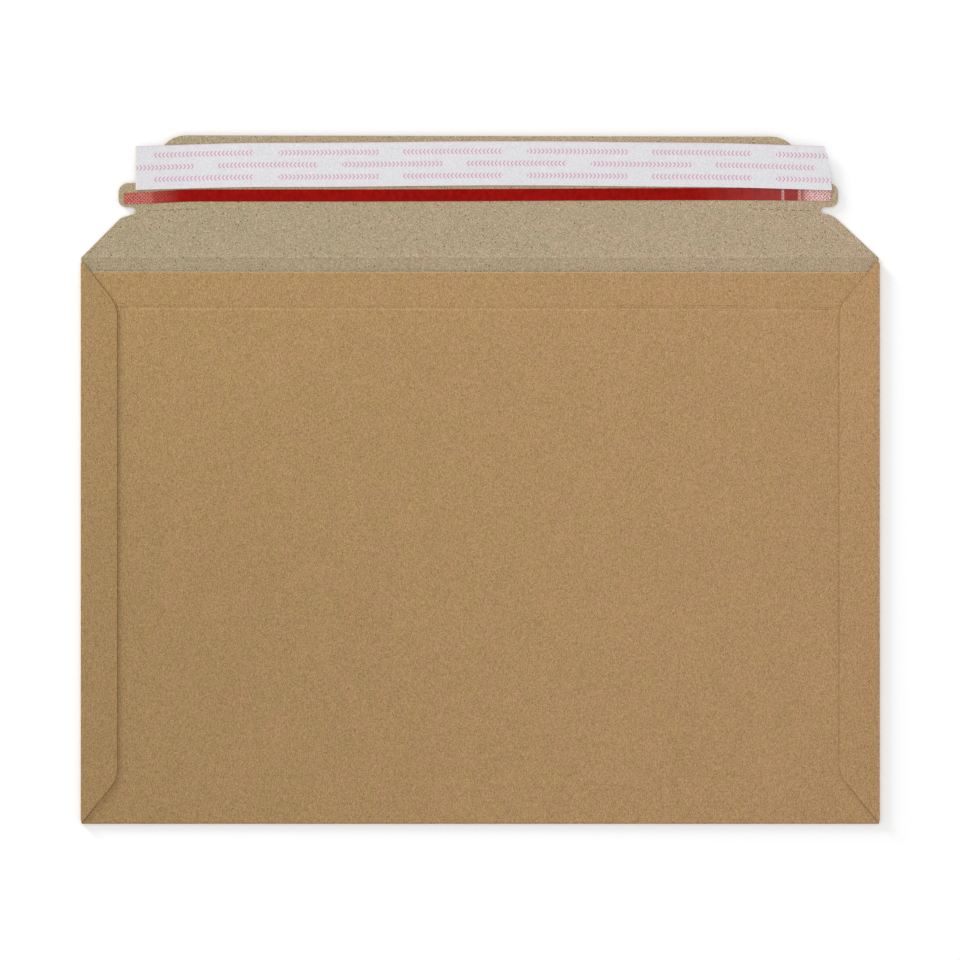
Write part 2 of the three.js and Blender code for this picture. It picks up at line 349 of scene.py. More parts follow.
def rounded(corners):
    """A closed ring of points through the corners, each rounded by its own radius."""
    ring = []
    for i, (u, v, radius) in enumerate(corners):
        here = Vector((u, v))
        to_last = (Vector(corners[i - 1][:2]) - here).normalized()
        to_next = (Vector(corners[(i + 1) % len(corners)][:2]) - here).normalized()
        if radius == 0:
            ring.append(here)
            continue
        half_angle = to_last.angle(to_next) / 2
        reach = radius / math.tan(half_angle)
        centre = here + (to_last + to_next).normalized() * (radius / math.sin(half_angle))
        start = here + to_last * reach - centre
        end = here + to_next * reach - centre
        sweep = start.angle_signed(end)
        for k in range(arc_chords + 1):
            angle = -sweep * k / arc_chords
            cosine = math.cos(angle)
            sine = math.sin(angle)
            spoke = Vector((start.x * cosine - start.y * sine, start.x * sine + start.y * cosine))
            ring.append(centre + spoke)
    return ring


def divided(ring, longest):
    """The same ring with no side longer than a given length."""
    points = []
    for i, start in enumerate(ring):
        end = ring[(i + 1) % len(ring)]
        count = max(1, math.ceil((end - start).length / longest))
        points += [start.lerp(end, k / count) for k in range(count)]
    return points


outline = divided(rounded(right_corners + left_corners[::-1]), grid_step)
print(len(outline), "points round the blank")

# %% [markdown]
# ## The perforation
#
# A row of short cuts runs inwards from each tear notch, so that the tape starts to tear in the
# right place. A row is listed by its side, how far from the notch it starts and how many cuts it
# has. The cuts go through the board, so they are holes in the blank. The perforating rule is a
# wedge that enters from the grey side, so each cut is almost shut on the kraft side.

# %% The perforation
cut_rows = ((1, 4.6, 8), (-1, 5.6, 7))
perforation_pitch = 3.35
perforation_length = 1.5
perforation_width = 0.34
perforation_kraft_width = 0.02
perforation_slope = 0.03
perforation_above_notch = 0.9


def perforation_v(u):
    """The v of a row of cuts, which rises a little on its way inwards."""
    inwards = notch_x - np.abs(u - die_shift)
    return hinge_y + notch_low + perforation_above_notch + perforation_slope * inwards


def perforation_hole(side, first_cut, number):
    """The four corners of one cut, counted inwards from the notch."""
    middle = notch_x - first_cut - number * perforation_pitch - perforation_length / 2
    left = side * middle + die_shift - perforation_length / 2
    right = left + perforation_length
    across = (left, right, right, left)
    half = perforation_width / 2
    return [Vector((u, perforation_v(u) + up)) for u, up in zip(across, (-half, -half, half, half))]


holes = [perforation_hole(side, first, k) for side, first, count in cut_rows for k in range(count)]
print(len(holes), "cuts in the perforation")

# %% [markdown]
# ## The creases
#
# A creasing rule presses a groove into the kraft side and raises a low bead on the grey side. On
# this board each groove has one gentle and one steep flank. The flap turns about the first
# crease. The front panel has two more, which fade out before the side tabs, and the lower of them
# is barely pressed. Here a crease is a small push through the thickness at each flat position.

# %% The creases
gentle_flank = 1.8
steep_flank = 0.9
crease_rows = 12
hinge_crease_depth = 0.12
upper_crease_y = 75.45
upper_crease_slope = 0.0021
upper_crease_depth = 0.14
lower_crease_y = -131.3
lower_crease_depth = 0.05


def smooth(t):
    """0 below 0, 1 above 1, and an even S between them."""
    t = np.clip(t, 0, 1)
    return t * t * (3 - 2 * t)


class Crease:
    """A pressed line across the blank. Its gentle flank faces the flap's free edge on the finished
    mailer, which is towards lower v on the front panel."""

    def __init__(self, v, slope, gentle_sign, depth, left, right, fade):
        self.v, self.slope, self.gentle_sign = v, slope, gentle_sign
        self.depth, self.left, self.right, self.fade = depth, left, right, fade

    def push(self, u, v):
        """How far the crease pushes the board towards its grey side."""
        distance = (v - self.v - self.slope * u) * self.gentle_sign
        flank = np.where(distance > 0, gentle_flank, steep_flank)
        across = smooth(1 - np.abs(distance) / flank)
        along = smooth((u - self.left) / self.fade) * smooth((self.right - u) / self.fade)
        return self.depth * across * along

    def rows(self):
        """Offsets in v of the rows of mesh points that the profile needs."""
        return [
            self.gentle_sign * (k * (gentle_flank + steep_flank) / crease_rows - steep_flank)
            for k in range(crease_rows + 1)
        ]


creases = [
    Crease(hinge_y, 0, 1, hinge_crease_depth, left=-side_x - 1, right=side_x + 1, fade=1),
    Crease(
        front_v(upper_crease_y), upper_crease_slope, -1, upper_crease_depth,
        left=-157.2, right=155.6, fade=2.5,
    ),
    Crease(front_v(lower_crease_y), 0, -1, lower_crease_depth, left=-152, right=140, fade=22),
]
print("creases at v", [round(line.v, 2) for line in creases])

# %% [markdown]
# ## Folding
#
# Folding is a function from flat to folded coordinates. Past the bottom fold and past each side
# fold the board comes back flat over itself, by two tight quarter bends with a short upright
# between them. One round arc would be simpler, but a pressed pocket has square sides. Past the
# flap's crease the board turns about the imported model's hinge, by the small angle to which the
# flap springs open. The turn spreads over a short stretch across the crease.

# %% Folding
bend_reach = 1.5
mouth_lift = 0.25
tab_press = 0.18
tab_press_width = 2.2


def mouth_bow(u, v):
    """The front panel stands a little proud in the middle of the pocket's mouth."""
    height = (front_v(v) - bottom_y) / (front_edge_y - bottom_y)
    across = np.cos(np.clip(u / tab_edge_x, -1, 1) * math.pi / 2)
    return mouth_lift * across * smooth(height) ** 2 * (v < bottom_fold_y)


def half_turn(past, w, rise):
    """How far out and how high a point lies, once it is past the start of a turn by two quarter
    bends with an upright between them."""
    quarter = math.pi / 2
    upright = rise - 2 * bend
    first = np.clip(past / bend, 0, quarter)
    climb = np.clip(past - quarter * bend, 0, upright)
    second = np.clip((past - upright) / bend - quarter, 0, quarter)
    run_back = np.maximum(past - upright - 2 * quarter * bend, 0)
    out = (bend - w) * np.sin(first) * np.cos(second) - run_back
    up = bend - (bend - w) * np.cos(first) + climb + (bend - w) * np.sin(second)
    return out, half_board + up


def folded(flat):
    """Folds an array of flat (u, v, w) rows into (x, y, z), all in millimetres."""
    u, v, w = np.asarray(flat, float).T
    w = w - mouth_bow(u, v)
    for line in creases:
        w = w + line.push(u, v)
    past = bottom_fold_y - v
    out, up = half_turn(past, w, bottom_rise)
    x = u
    y = np.where(past > 0, bottom_fold_y - out, v)
    z = np.where(past > 0, up, half_board + w)
    past = np.abs(u) - side_fold_x
    between = (v > bottom_y + slit_above_bottom) & (v < hinge_y - fold_stop + corner_slit / 2)
    is_tab = (past > 0) & between
    pressed = tab_press * smooth((past - tab_u(tab_edge_x) + side_fold_x) / tab_press_width + 1)
    out, up = half_turn(past, w, side_rise)
    x = np.where(is_tab, np.sign(u) * (side_fold_x + out), x)
    z = np.where(is_tab, up - pressed, z)
    angle = math.radians(spring_degrees) * smooth((v - hinge_y + bend_reach) / (2 * bend_reach))
    from_y, from_z = y - hinge_y, z - hinge_z
    y = hinge_y + from_y * np.cos(angle) - from_z * np.sin(angle)
    z = hinge_z + from_y * np.sin(angle) + from_z * np.cos(angle)
    return np.stack([x, y, z], 1)


middle_of_mouth = folded([(0, front_v(front_edge_y), -half_board)])[0]
print("middle of the mouth folds to", middle_of_mouth.round(2))

# %% [markdown]
# ## Points inside the blank
#
# The folds and creases need rows of points close together, and the flat panels only a wide grid.
# Rows and the outline go into a constrained Delaunay triangulation, which keeps them all as edges
# of the mesh. Cutting a face again and again with a knife tool would give the same lines, but it
# is slower and can fail on a concave outline.

# %% Rows and grid points
bend_steps = 4
settling = 0.2
row_clearance = 2.4
outline_clearance = 0.7


def turn_steps(turn):
    """Distances from the start of a turn to the rows of points of its two bends. One more row just
    outside each bend lets the shading settle to that of the flat panel."""
    quarter = math.pi / 2 * bend
    first = [-settling] + [quarter * k / bend_steps for k in range(bend_steps + 1)]
    return first + [turn - step for step in reversed(first)]


def spaced(start, end):
    """Values from start to end, about one grid step apart."""
    return np.linspace(start, end, max(2, round(abs(end - start) / grid_step) + 1))


def distance_to_ring(points, ring):
    """How far each point lies from a closed ring of points."""
    ring = np.array(ring)
    sides = np.roll(ring, -1, 0) - ring
    offsets = points[:, None] - ring
    t = np.clip((offsets * sides).sum(2) / (sides ** 2).sum(1), 0, 1)
    return np.linalg.norm(offsets - t[..., None] * sides, axis=2).min(1)


rows = [(line.v + offset, line.slope) for line in creases for offset in line.rows()]
rows += [(bottom_fold_y - step, 0) for step in turn_steps(bottom_turn)]
columns = [side * (side_fold_x + step) for side in (1, -1) for step in turn_steps(side_turn)]
blank_u = tab_u(tab_edge_x)
grid_u, grid_v = np.meshgrid(
    spaced(-blank_u, blank_u), spaced(front_v(front_edge_y), hinge_y + flap_height)
)
grid = np.stack([grid_u.ravel(), grid_v.ravel()], 1)
for row_v, slope in rows:
    grid = grid[np.abs(grid[:, 1] - row_v - slope * grid[:, 0]) > row_clearance]
for column in columns:
    grid = grid[np.abs(grid[:, 0] - column) > row_clearance]
print(len(rows), "rows,", len(columns), "columns and", len(grid), "grid points")

# %% [markdown]
# The triangulation reports which input face each triangle lies in. The outline is face 0, and
# the cuts of the perforation follow it, so the triangles of the board are those in face 0 only.

# %% Triangulate the blank
merge_distance = 1e-5


def triangulated_blank():
    """Points and triangles of the flat blank."""
    points = list(outline)
    faces = [list(range(len(outline)))]
    for hole in holes:
        faces.append(list(range(len(points), len(points) + len(hole))))
        points += hole
    loose = [(u, v + slope * u) for v, slope in rows for u in spaced(-side_x, side_x)]
    loose += [(u, v) for u in columns for v in spaced(bottom_y, hinge_y)]
    loose = np.concatenate([loose, grid])
    loose = loose[distance_to_ring(loose, outline) > outline_clearance]
    for hole in holes:
        loose = loose[distance_to_ring(loose, hole) > outline_clearance]
    points += [Vector(p) for p in loose]
    ends = [(u, v + slope * u) for v, slope in rows for u in (-side_x - 1, side_x + 1)]
    ends += [(u, v) for u in columns for v in (bottom_y - 1, hinge_y + 1)]
    edges = [(k, k + 1) for k in range(len(points), len(points) + len(ends), 2)]
    points += [Vector(end) for end in ends]
    verts, _, tris, _, _, sources = delaunay_2d_cdt(points, edges, faces, 1, merge_distance)
    kept = [t for t, source in zip(tris, sources) if set(source) == {0}]
    used, kept = np.unique(kept, return_inverse=True)
    flat = np.array([verts[i] for i in used])
    kept = kept.reshape(-1, 3)
    a, b, c = flat[kept[:, 0]], flat[kept[:, 1]], flat[kept[:, 2]]
    area = (b[:, 0] - a[:, 0]) * (c[:, 1] - a[:, 1]) - (b[:, 1] - a[:, 1]) * (c[:, 0] - a[:, 0])
    kept[area < 0] = kept[area < 0][:, ::-1]
    return flat, kept


blank_points, blank_triangles = triangulated_blank()
print(len(blank_points), "points and", len(blank_triangles), "triangles in the blank")

# %% [markdown]
# ## The board as a solid sheet
#
# The flat triangles become a sheet with two faces. Round the rim and round each perforation cut
# the faces stop a little short and a narrow chamfer leads to the cut wall, as the cutting rule
# leaves it. A solidify modifier could thicken a single sheet, but after folding it would pinch
# the tight bends. Here the thickness is part of what is folded.
#
# The flat position of every point stays on the mesh as an attribute. The materials read it, so
# the fibres run through a fold as they do in real board.

# %% Thicken and fold the blank
rim_chamfer = 0.15
smooth_below = math.radians(32)


def rim_edges(triangles):
    """The directed edges that belong to one triangle only, with the board on their left."""
    directed = {(t[i], t[(i + 1) % 3]) for t in triangles.tolist() for i in range(3)}
    return [(a, b) for a, b in directed if (b, a) not in directed]


def inward_steps(points, rim):
    """For every rim point, the step of unit depth that leads into the board."""
    steps = {}
    for a, b in rim:
        along = points[b] - points[a]
        inward = np.array([-along[1], along[0]]) / np.linalg.norm(along)
        steps.setdefault(a, []).append(inward)
        steps.setdefault(b, []).append(inward)
    result = {}
    for i, (one, other) in steps.items():
        middle = one + other
        result[i] = middle / max(0.5, middle @ one)
    return result


def shut_cuts(points):
    """The same points, with the sides of every perforation cut brought together."""
    points = points.copy()
    line = perforation_v(points[:, 0])
    from_line = points[:, 1] - line
    inside = np.abs(points[:, 0] - die_shift) < notch_x - 1
    on_cut = inside & (np.abs(from_line) < perforation_width)
    points[on_cut, 1] = (line + np.sign(from_line) * perforation_kraft_width / 2)[on_cut]
    return points


def sheet_mesh(name, flat, faces, materials, face_materials):
    """A folded, closed mesh from flat points, which stay on it as an attribute."""
    mesh = bpy.data.meshes.new(name)
    mesh.from_pydata(folded(flat) * millimetre, [], faces)
    for material in materials:
        mesh.materials.append(material)
    mesh.polygons.foreach_set("material_index", face_materials)
    kept = mesh.attributes.new("flat", "FLOAT_VECTOR", "POINT")
    kept.data.foreach_set("vector", np.asarray(flat, np.float32).ravel())
    mesh.shade_smooth()
    mesh.set_sharp_from_angle(angle=smooth_below)
    mesh.update()
    piece = bpy.data.objects.new(name, mesh)
    scene.collection.objects.link(piece)
    return piece


def board_sheet(materials):
    """The whole board: grey face, kraft face and the cut rim between them."""
    count = len(blank_points)
    rim = rim_edges(blank_triangles)
    steps = inward_steps(blank_points, rim)
    face_points = blank_points.copy()
    for i, step in steps.items():
        face_points[i] += rim_chamfer * step
    ring = {i: k for k, i in enumerate(steps)}
    ring_points = blank_points[list(ring)]
    wall_half = half_board - rim_chamfer
    layers = (
        (face_points, half_board), (shut_cuts(face_points), -half_board),
        (ring_points, wall_half), (shut_cuts(ring_points), -wall_half),
    )
    flat = np.concatenate([np.insert(points, 2, w, axis=1) for points, w in layers])
    faces = blank_triangles.tolist()
    faces += (blank_triangles[:, ::-1] + count).tolist()
    for a, b in rim:
        upper_a, upper_b = 2 * count + ring[a], 2 * count + ring[b]
        lower_a, lower_b = upper_a + len(ring), upper_b + len(ring)
        faces.append((upper_a, upper_b, b, a))
        faces.append((lower_a, lower_b, upper_b, upper_a))
        faces.append((a + count, b + count, lower_b, lower_a))
    side = len(blank_triangles)
    indices = [0] * side + [1] * side + [2] * (len(faces) - 2 * side)
    return sheet_mesh("board_sheet", flat, faces, materials, indices)


print(len(rim_edges(blank_triangles)), "edges round the rim and the cuts")

# %% [markdown]
# ## Building a finish
#
# A finish reads where it is on the flat sheet from the mesh attribute, in millimetres, so a noise
# with two grains to the millimetre has grains of half a millimetre.

# %% Helpers for materials


def linear(red, green, blue):
    """A colour given as it shows on a screen, 0 to 255, in the linear values that shaders use."""
    shown = [c / 255 for c in (red, green, blue)]
    return tuple(c / 12.92 if c <= 0.04045 else ((c + 0.055) / 1.055) ** 2.4 for c in shown)


class Finish(Nodes):
    """A material under construction. Its place is where it is on the flat sheet."""

    def __init__(self, name, roughness, specular):
        self.material = bpy.data.materials.new(name)
        self.material.use_nodes = True
        super().__init__(self.material.node_tree)
        self.shader = self.tree.nodes["Principled BSDF"]
        self.shader.inputs["Roughness"].default_value = roughness
        self.shader.inputs["Specular IOR Level"].default_value = specular
        self.place = self.add("ShaderNodeAttribute", attribute_name="flat").outputs["Vector"]
        split = self.add("ShaderNodeSeparateXYZ", [self.place])
        self.across, self.along, self.depth = split.outputs

    def product(self, value, *factors):
        """A value times one factor or more."""
        for factor in factors:
            value = self.math("MULTIPLY", value, factor)
        return value

    def swing(self, noise, amount, middle=0.0):
        """Turns a noise around a half into a change of so much around a middle value."""
        return self.math("MULTIPLY_ADD", noise, amount, middle - amount / 2)

    def distance(self, value, place):
        """How far a value is from a place on its axis."""
        return self.math("ABSOLUTE", self.math("SUBTRACT", value, place))

    def texture(self, kind, grains):
        """A texture whose pattern has so many grains to a unit of place, in each direction."""
        scaling = self.add("ShaderNodeVectorMath", [self.place, grains], operation="MULTIPLY")
        node = self.add(kind, [scaling.outputs[0]])
        node.inputs["Scale"].default_value = 1.0
        return node

    def noise(self, grains, detail=2.0, roughness=0.5):
        """Soft random values from 0 to 1 with their middle at a half."""
        node = self.texture("ShaderNodeTexNoise", grains)
        node.inputs["Detail"].default_value = detail
        node.inputs["Roughness"].default_value = roughness
        return node.outputs["Fac"]

    def cells(self, grains):
        """The distance to the middle of the nearest cell, and the random colour of that cell."""
        node = self.texture("ShaderNodeTexVoronoi", grains)
        return node.outputs["Distance"], node.outputs["Color"]

    def remap(self, value, low, high, to_low=0.0, to_high=1.0, smoothly=False):
        """Maps low to high onto to_low to to_high, and holds the ends."""
        kind = "SMOOTHSTEP" if smoothly else "LINEAR"
        inputs = [value, low, high, to_low, to_high]
        return self.add("ShaderNodeMapRange", inputs, interpolation_type=kind).outputs["Result"]

    def toned(self, light, value, low, high, to_low, to_high):
        """A light multiplied by a tone that runs along a value."""
        return self.product(light, self.remap(value, low, high, to_low, to_high))

    def mixed(self, factor, one, other):
        """One colour at factor 0, the other at factor 1. Colours are sockets or linear values."""
        colours = [(*c, 1) if isinstance(c, tuple) else c for c in (one, other)]
        return self.add("ShaderNodeMix", [factor] + [None] * 5 + colours, data_type="RGBA").outputs[2]

    def mottled(self, noise, one, other):
        """Two colours in soft patches."""
        return self.mixed(self.remap(noise, 0.3, 0.7), one, other)

    def dimmed(self, colour, factor):
        """A colour times a factor."""
        inputs = [colour, None, None, factor]
        return self.add("ShaderNodeVectorMath", inputs, operation="SCALE").outputs[0]

    def set_colour(self, colour):
        self.tree.links.new(colour, self.shader.inputs["Base Color"])

    def set_bump(self, height, distance):
        """Height runs from 0 to 1 and stands for a distance in millimetres."""
        node = self.add("ShaderNodeBump")
        node.inputs["Distance"].default_value = distance * millimetre
        self.tree.links.new(height, node.inputs["Height"])
        self.tree.links.new(node.outputs[0], self.shader.inputs["Normal"])


print("half grey on a screen is", round(linear(128, 128, 128)[0], 3), "in linear light")

# %% [markdown]
# ## Kraft and grey board
#
# The outside is kraft paper: long fibres that lie mostly along the flap's height, so its grain is
# short upright streaks. The inside is recycled board: an even speckle with dark and pale flecks
# from what it was made of. Both fade a little over centimetres.
#
# A photograph wrapped on as a texture would repeat and fix the light. Noise at several sizes
# gives the same grain at any distance.

# %% Kraft outside
kraft_yellow = linear(170, 138, 93)
kraft_pink = linear(173, 137, 97)
kraft_grain = 2.2
kraft_streak = 0.5
cloud_swing = 0.08
drift_swing = 0.12
fibre_height = 0.03
speck_tone = 0.72
fold_stripe = 1.5
# Painted shade on the left fold and a painted highlight on the right fold.
painted_fold_shade_and_highlight = ((-1, 0.85), (1, 1.15))
# A painted highlight along the lip of the upper crease.
crease_highlight_offset = 0.5
crease_highlight_tone = 1.035
mouth_v = front_v(front_edge_y)
# Painted light and shade along the blank: the front panel lighter at its top and darker at its bottom,
# and the tabs lighter towards their top.
painted_tones_along = (
    (front_v(90), bottom_y, 1.035, 0.965),
    (front_v(80), front_v(35), 1.02, 1.0),
    # A painted highlight along the mouth's cut edge.
    (mouth_v + 0.5, mouth_v + 1.2, 1.07, 1.0),
    (-90, 75, 1.0, 1.11),
)


def painted_kraft_light_and_shade(finish):
    """Painted light and shade: lighter towards the top of the front panel and of the tabs, a painted
    highlight along the mouth, and darker towards the left, most of all low on the left.
    """
    # Painted shade: darker towards the left.
    light = finish.remap(finish.across, -175, 60, 0.965, 1.015)
    for tone in painted_tones_along:
        light = finish.toned(light, finish.along, *tone)
    # Painted shade, deepest low on the left.
    left = finish.remap(finish.across, -175, 20, 0.06, 0.0)
    low = finish.remap(finish.along, front_v(50), front_v(-70), 0.0, 1.0)
    return finish.product(light, finish.math("SUBTRACT", 1.0, finish.product(left, low)))


def kraft_paper():
    """Streaky brown paper with dark specks, painted shade on the left fold, a painted highlight on the
    right fold and a painted highlight along the lip of the upper crease.
    """
    finish = Finish("kraft_paper", roughness=0.85, specular=0.15)
    grain = finish.noise((4.1, 1.6, 1.0), detail=2, roughness=0.6)
    streak = finish.noise((3.6, 0.5, 1.0), detail=1)
    cloud = finish.noise((0.05, 0.035, 0.1), detail=3)
    light = finish.swing(grain, kraft_grain, 1)
    light = finish.math("ADD", light, finish.swing(streak, kraft_streak))
    light = finish.math("ADD", light, finish.swing(cloud, cloud_swing))
    light = finish.product(light, painted_kraft_light_and_shade(finish))
    speck_distance, _ = finish.cells((0.22, 0.2, 0.2))
    light = finish.toned(light, speck_distance, 0.05, 0.09, speck_tone, 1.0)
    # Painted shade on the left fold and a painted highlight on the right fold.
    for side, tone in painted_fold_shade_and_highlight:
        outwards = finish.product(finish.across, side)
        stripe_middle = side_fold_x + side_turn - fold_stripe / 2
        on_fold = finish.math("COMPARE", outwards, stripe_middle, fold_stripe / 2)
        light = finish.product(light, finish.math("MULTIPLY_ADD", on_fold, tone - 1, 1.0))
    # A painted highlight along the lip of the upper crease.
    level = finish.math("MULTIPLY_ADD", finish.across, -upper_crease_slope, finish.along)
    off_crease_highlight = finish.distance(level, front_v(upper_crease_y) + crease_highlight_offset)
    light = finish.toned(light, off_crease_highlight, 0.3, 0.7, crease_highlight_tone, 1.0)
    warmth = finish.noise((0.13, 0.09, 0.2), detail=2)
    drift = finish.remap(finish.across, -170, 170, -drift_swing, drift_swing)
    pink = finish.remap(finish.math("ADD", warmth, drift), 0.35, 0.65)
    finish.set_colour(finish.dimmed(finish.mixed(pink, kraft_yellow, kraft_pink), light))
    finish.set_bump(grain, fibre_height)
    return finish.material


print("kraft is near", [round(c, 3) for c in kraft_yellow])

# %% [markdown]
# The grey side has rounder grains and more of them differ: each cell of a Voronoi pattern has a
# random colour, and only the darkest and palest few become flecks. The cut edge shows layers of
# pulp under a skin that is dark, partly by itself and partly as painted shade, and pale as a
# painted highlight along the mouth.

# %% Grey inside and the cut edge
grey_green = linear(173, 159, 127)
grey_pink = linear(180, 158, 132)
fleck_dark = linear(88, 72, 58)
fleck_pale = linear(214, 206, 182)
pulp_dark = linear(168, 152, 124)
pulp_pale = linear(198, 184, 156)
# Skin colours: dark, partly the cut edge's own and partly painted shade; pale as a painted highlight
# along the mouth.
skin_dark_and_painted_shade = linear(128, 100, 66)
skin_painted_highlight = linear(198, 172, 132)
grey_grain = 3.8
fleck_share = 0.2
# Painted shade inside the pocket.
painted_pocket_shade_tone = 0.945
skin_thickness = 0.05
layer_relief = 0.05


def grey_board():
    """Speckled recycled board, with painted shade inside the pocket that makes it a little darker than
    on the flap.
    """
    finish = Finish("grey_recycled_board", roughness=0.9, specular=0.12)
    grain = finish.noise((4.5, 3.3, 1.0), detail=2, roughness=0.6)
    cloud = finish.noise((0.06, 0.05, 0.1), detail=3)
    light = finish.math("ADD", finish.swing(grain, grey_grain, 1), finish.swing(cloud, cloud_swing))
    light = finish.toned(light, finish.across, -150, 80, 0.975, 1.02)
    # Painted shade inside the pocket, below the flap's crease.
    pocket_shade = finish.remap(finish.along, hinge_y - 1.5, hinge_y + 0.5, painted_pocket_shade_tone, 1.0, smoothly=True)
    light = finish.product(light, pocket_shade)
    tint = finish.noise((0.07, 0.1, 0.2), detail=3)
    drift = finish.remap(finish.across, -170, 170, -drift_swing, drift_swing)
    colour = finish.mottled(finish.math("ADD", tint, drift), grey_green, grey_pink)
    distance, cell_colour = finish.cells((0.75, 0.6, 0.5))
    near = finish.remap(distance, 0.14, 0.24, 1.0, 0.0)
    chance = finish.add("ShaderNodeSeparateColor", [cell_colour]).outputs[0]
    dark = finish.product(near, finish.math("LESS_THAN", chance, fleck_share), 0.95)
    pale = finish.product(near, finish.math("GREATER_THAN", chance, 1 - fleck_share), 0.62)
    colour = finish.mixed(dark, colour, fleck_dark)
    colour = finish.mixed(pale, colour, fleck_pale)
    finish.set_colour(finish.dimmed(colour, light))
    finish.set_bump(grain, fibre_height)
    return finish.material


def cut_edge():
    """Pressed layers of grey pulp under the kraft skin. The skin is dark, partly by itself and partly
    as painted shade. Along the pocket's mouth it is pale as a painted highlight."""
    finish = Finish("cut_board_edge", roughness=0.95, specular=0.1)
    layers = finish.noise((0.25, 0.25, 9.0), detail=3, roughness=0.6)
    pulp = finish.mottled(layers, pulp_dark, pulp_pale)
    skin_depth = rim_chamfer - half_board
    is_skin = finish.remap(finish.depth, skin_depth, skin_depth + skin_thickness, 1.0, 0.0)
    # The skin is painted pale as a highlight along the mouth.
    at_mouth = finish.remap(finish.along, mouth_v + 1, mouth_v + 2, 1.0, 0.0)
    skin = finish.mixed(at_mouth, skin_dark_and_painted_shade, skin_painted_highlight)
    finish.set_colour(finish.mixed(is_skin, pulp, skin))
    finish.set_bump(layers, layer_relief)
    return finish.material


board = board_sheet([grey_board(), kraft_paper(), cut_edge()])
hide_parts("pocket_board", "flap_board")
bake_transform(board)
print("board sheet:", len(board.data.vertices), "points,", len(board.data.polygons), "faces")

# %% [markdown]
# ## Films on the flap
#
# The tear tape and the release liner are thin strips stuck to the flap. Each has two ends, a
# middle line and a width. Neither was laid quite straight, and a ruler line would look wrong
# beside the board, so middle and width ease off along the strip. They are built in the blank's
# flat coordinates too, so they rise with the flap's spring.

# %% A thin strip
film_thickness = 0.1


def eased(u, value, falls):
    """A value with its falls along a strip. Each is (side, start, reach, depth): on that side it
    starts so far from the middle, and is complete a reach further on."""
    return value - sum(depth * smooth((side * u - start) / reach) for side, start, reach, depth in falls)


def film(name, ends, middle, width, lift, steps, material):
    """A closed strip. Its middle and width are each a value with its falls. Its ends depend on t,
    the share across it from its lower edge to its upper one, and its lift on u and t."""
    share, t = np.meshgrid(*(np.linspace(0, 1, count + 1) for count in steps), indexing="ij")
    left, right = ends(t)
    u = left + (right - left) * share
    v = eased(u, *middle) + (t - 0.5) * eased(u, *width)
    low = half_board + lift(u, t)
    bottom = np.stack([u, v, low], -1).reshape(-1, 3)
    top = np.stack([u, v, low + film_thickness], -1).reshape(-1, 3)
    index = np.arange(len(top)).reshape(u.shape)
    cells = np.stack([index[:-1, :-1], index[1:, :-1], index[1:, 1:], index[:-1, 1:]], -1)
    cells = cells.reshape(-1, 4)
    faces = cells.tolist() + (cells[:, ::-1] + len(top)).tolist()
    rim = np.concatenate([index[:-1, 0], index[-1, :-1], index[:0:-1, -1], index[0, :0:-1]])
    for a, b in zip(rim.tolist(), np.roll(rim, -1).tolist()):
        faces.append((a + len(top), b + len(top), b, a))
    flat = np.concatenate([top, bottom])
    return sheet_mesh(name, flat, faces, [material], [0] * len(faces))


def stick_on_flap(strip, node):
    """The strip turns with the flap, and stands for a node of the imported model."""
    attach(strip, "flap")
    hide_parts(node)
    print(strip.name, "has", len(strip.data.polygons), "faces")


# %% [markdown]
# ## The tear tape
#
# A red film. Where its glue has wetted the board it looks deep red. At both ends it has been
# pressed on only in lines, so air under it scatters the light and it looks pink and hatched.
# The tape dips at its left end and lies a little high towards the right. A glossy film over a
# dark red reads as red only if its reflection is weak from straight above.

# %% The tear tape
tape_left = -157.0
tape_right = 154.4
tape_middle = 125.3, ((-1, 125, 30, 1.3), (1, -60, 170, -0.6), (1, 115, 40, 0.5))
tape_width = 5.35, ((-1, 135, 22, 0.5), (1, 120, 30, 0.4))
tape_gap = 0.002
ripple_height = 0.02
tape_steps = (150, 6)


def tape_ends(t):
    return tape_left, tape_right


def tape_lift(u, t):
    """Ripples of a few hundredths of a millimetre at the ends."""
    loose = smooth((np.abs(u) - 125) / 30)
    ripple = np.sin(u * 2.9) * np.sin(u * 0.7 + 3 * t)
    return tape_gap + ripple_height * loose * (1 + ripple)


print("tape of", round(tape_right - tape_left, 1), "by", tape_width[0], "mm")

# %% [markdown]
# The hatching is two sets of slanting lines, broken up by a fine grit. It fades out over the last
# centimetres of the left end, and on the right it starts after two narrow scratches.

# %% The red film
film_deep = linear(128, 5, 2)
film_bright = linear(164, 12, 6)
left_pink = linear(222, 148, 136)
right_pink = linear(244, 212, 208)
hatch_rate = 4.2
hatch_wobble = 3.0
scratches = (133.3, 140.6)
film_haze = 0.06


def hatching(finish):
    """Slanting lines both ways, uneven and gritty."""
    wobble = finish.product(finish.noise((0.9, 0.9, 0.2), detail=2), hatch_wobble)
    lines = []
    for slope in (1.0, -1.0):
        diagonal = finish.math("MULTIPLY_ADD", finish.along, slope, finish.across)
        lines.append(finish.math("SINE", finish.math("MULTIPLY_ADD", diagonal, hatch_rate, wobble)))
    grit = finish.noise((2.4, 2.4, 1.0), detail=3, roughness=0.7)
    ridges = finish.remap(finish.math("MAXIMUM", *lines), -0.2, 0.9, 0.25, 1.0)
    return finish.product(ridges, finish.remap(grit, 0.38, 0.6, 0.3, 1.1))


